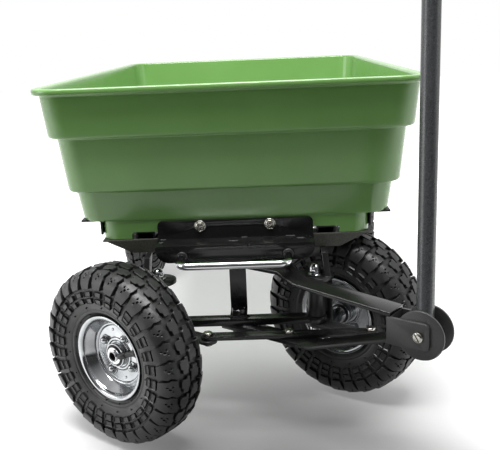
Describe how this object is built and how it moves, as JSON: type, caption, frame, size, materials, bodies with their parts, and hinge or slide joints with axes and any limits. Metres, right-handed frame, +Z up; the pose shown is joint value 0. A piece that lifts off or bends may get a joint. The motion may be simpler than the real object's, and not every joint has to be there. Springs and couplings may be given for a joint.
{
  "type": "tipping garden cart with four pneumatic wheels and a pull handle",
  "caption": "Garden cart with a stepped plastic tub that tips backwards on a steel frame, pneumatic wheels, linked front steering and a folding pull handle.",
  "frame": {"origin": "on the floor under the middle of the cart", "axes": "+X to the right seen from the front, -Y towards the pull handle, +Z up"},
  "size_m": [0.575, 1.0636, 0.99],
  "materials": {
    "green_polyethylene": "semi-gloss moulded polyethylene",
    "tyre_rubber": "moulded black rubber",
    "zinc_plated_rim": "bright plated pressed steel",
    "zinc_plated_steel": "zinc plated",
    "hammered_grey_paint": "dark grey hammered powder coat",
    "black_grip_plastic": "matt moulded plastic",
    "black_painted_steel": "semi-gloss black powder coat"
  },
  "bodies": {
    "chassis": {"front_cross_beam": "black_painted_steel", "centre_post": "black_painted_steel", "front_axle_beam": "black_painted_steel", "drawbar_pivot_bolts": "zinc_plated_steel", "chassis_rail_left": "black_painted_steel", "chassis_rail_right": "black_painted_steel", "front_leg_left": "black_painted_steel", "front_leg_right": "black_painted_steel", "kingpin_left": "zinc_plated_steel", "kingpin_right": "zinc_plated_steel", "rear_cross_member": "black_painted_steel", "rear_axle_support_left": "black_painted_steel", "rear_axle_support_right": "black_painted_steel", "rear_axle": "zinc_plated_steel", "tilt_rod": "zinc_plated_steel"},
    "tub": {"tub": "green_polyethylene", "tub_side_rail_left": "black_painted_steel", "tub_side_rail_right": "black_painted_steel", "tub_hinge_plates": "black_painted_steel", "latch_bracket": "black_painted_steel", "latch_bolts": "zinc_plated_steel", "latch_lever": "zinc_plated_steel"},
    "drawbar": {"drawbar_lower_arm": "black_painted_steel", "drawbar_upper_arm": "black_painted_steel", "handle_yoke": "black_painted_steel", "handle_pin": "zinc_plated_steel", "steering_bolt_centre": "zinc_plated_steel"},
    "handle": {"handle_tube": "hammered_grey_paint", "handle_discs": "hammered_grey_paint", "handle_grip": "black_grip_plastic", "tow_clevis": "black_painted_steel"},
    "knuckle_left": {"knuckle_left": "black_painted_steel", "stub_axle_left": "zinc_plated_steel", "steering_bolt_left": "zinc_plated_steel"},
    "knuckle_right": {"knuckle_right": "black_painted_steel", "stub_axle_right": "zinc_plated_steel", "steering_bolt_right": "zinc_plated_steel"},
    "wheel_front_left": {"tyre_front_left": "tyre_rubber", "rim_front_left": "zinc_plated_rim"},
    "wheel_front_right": {"tyre_front_right": "tyre_rubber", "rim_front_right": "zinc_plated_rim"},
    "wheel_rear_left": {"tyre_rear_left": "tyre_rubber", "rim_rear_left": "zinc_plated_rim"},
    "wheel_rear_right": {"tyre_rear_right": "tyre_rubber", "rim_rear_right": "zinc_plated_rim"},
    "tie_rod": {"tie_rod": "black_painted_steel"}
  },
  "joints": [
    {"name": "drawbar_turn", "type": "hinge", "parent": "chassis", "child": "drawbar", "pos_m": [0, -0.298, 0.14], "axis": [0, 0, 1], "range_deg": [-108, 0]},
    {"name": "steer_left", "type": "hinge", "parent": "chassis", "child": "knuckle_left", "pos_m": [-0.1155, -0.298, 0.14], "axis": [0, 0, 1], "range_deg": [-108, 0]},
    {"name": "steer_right", "type": "hinge", "parent": "chassis", "child": "knuckle_right", "pos_m": [0.1155, -0.298, 0.14], "axis": [0, 0, 1], "range_deg": [-108, 0]},
    {"name": "tie_rod_turn", "type": "hinge", "parent": "drawbar", "child": "tie_rod", "pos_m": [0.07281, -0.3509, 0.143], "axis": [0, 0, 1], "range_deg": [0, 108]},
    {"name": "handle_tilt", "type": "hinge", "parent": "drawbar", "child": "handle", "pos_m": [0.23866, -0.4714, 0.192], "axis": [0.5878, 0.809, 0], "range_deg": [-28, 90]},
    {"name": "tub_tilt", "type": "hinge", "parent": "chassis", "child": "tub", "pos_m": [0, 0.442, 0.2742], "axis": [-1, 0, 0], "range_deg": [0, 50]},
    {"name": "wheel_spin_front_left", "type": "hinge", "parent": "knuckle_left", "child": "wheel_front_left", "pos_m": [-0.1637, -0.36434, 0.13], "axis": [0.5878, 0.809, 0], "continuous": true},
    {"name": "wheel_spin_front_right", "type": "hinge", "parent": "knuckle_right", "child": "wheel_front_right", "pos_m": [0.1637, -0.23166, 0.13], "axis": [0.5878, 0.809, 0], "continuous": true},
    {"name": "wheel_spin_rear_left", "type": "hinge", "parent": "chassis", "child": "wheel_rear_left", "pos_m": [-0.2475, 0.402, 0.13], "axis": [1, 0, 0], "continuous": true},
    {"name": "wheel_spin_rear_right", "type": "hinge", "parent": "chassis", "child": "wheel_rear_right", "pos_m": [0.2475, 0.402, 0.13], "axis": [1, 0, 0], "continuous": true}
  ],
  "couplings": [
    {"joint": "steer_left", "follows": "drawbar_turn", "ratio": 1},
    {"joint": "steer_right", "follows": "drawbar_turn", "ratio": 1},
    {"joint": "tie_rod_turn", "follows": "drawbar_turn", "ratio": -1}
  ]
}
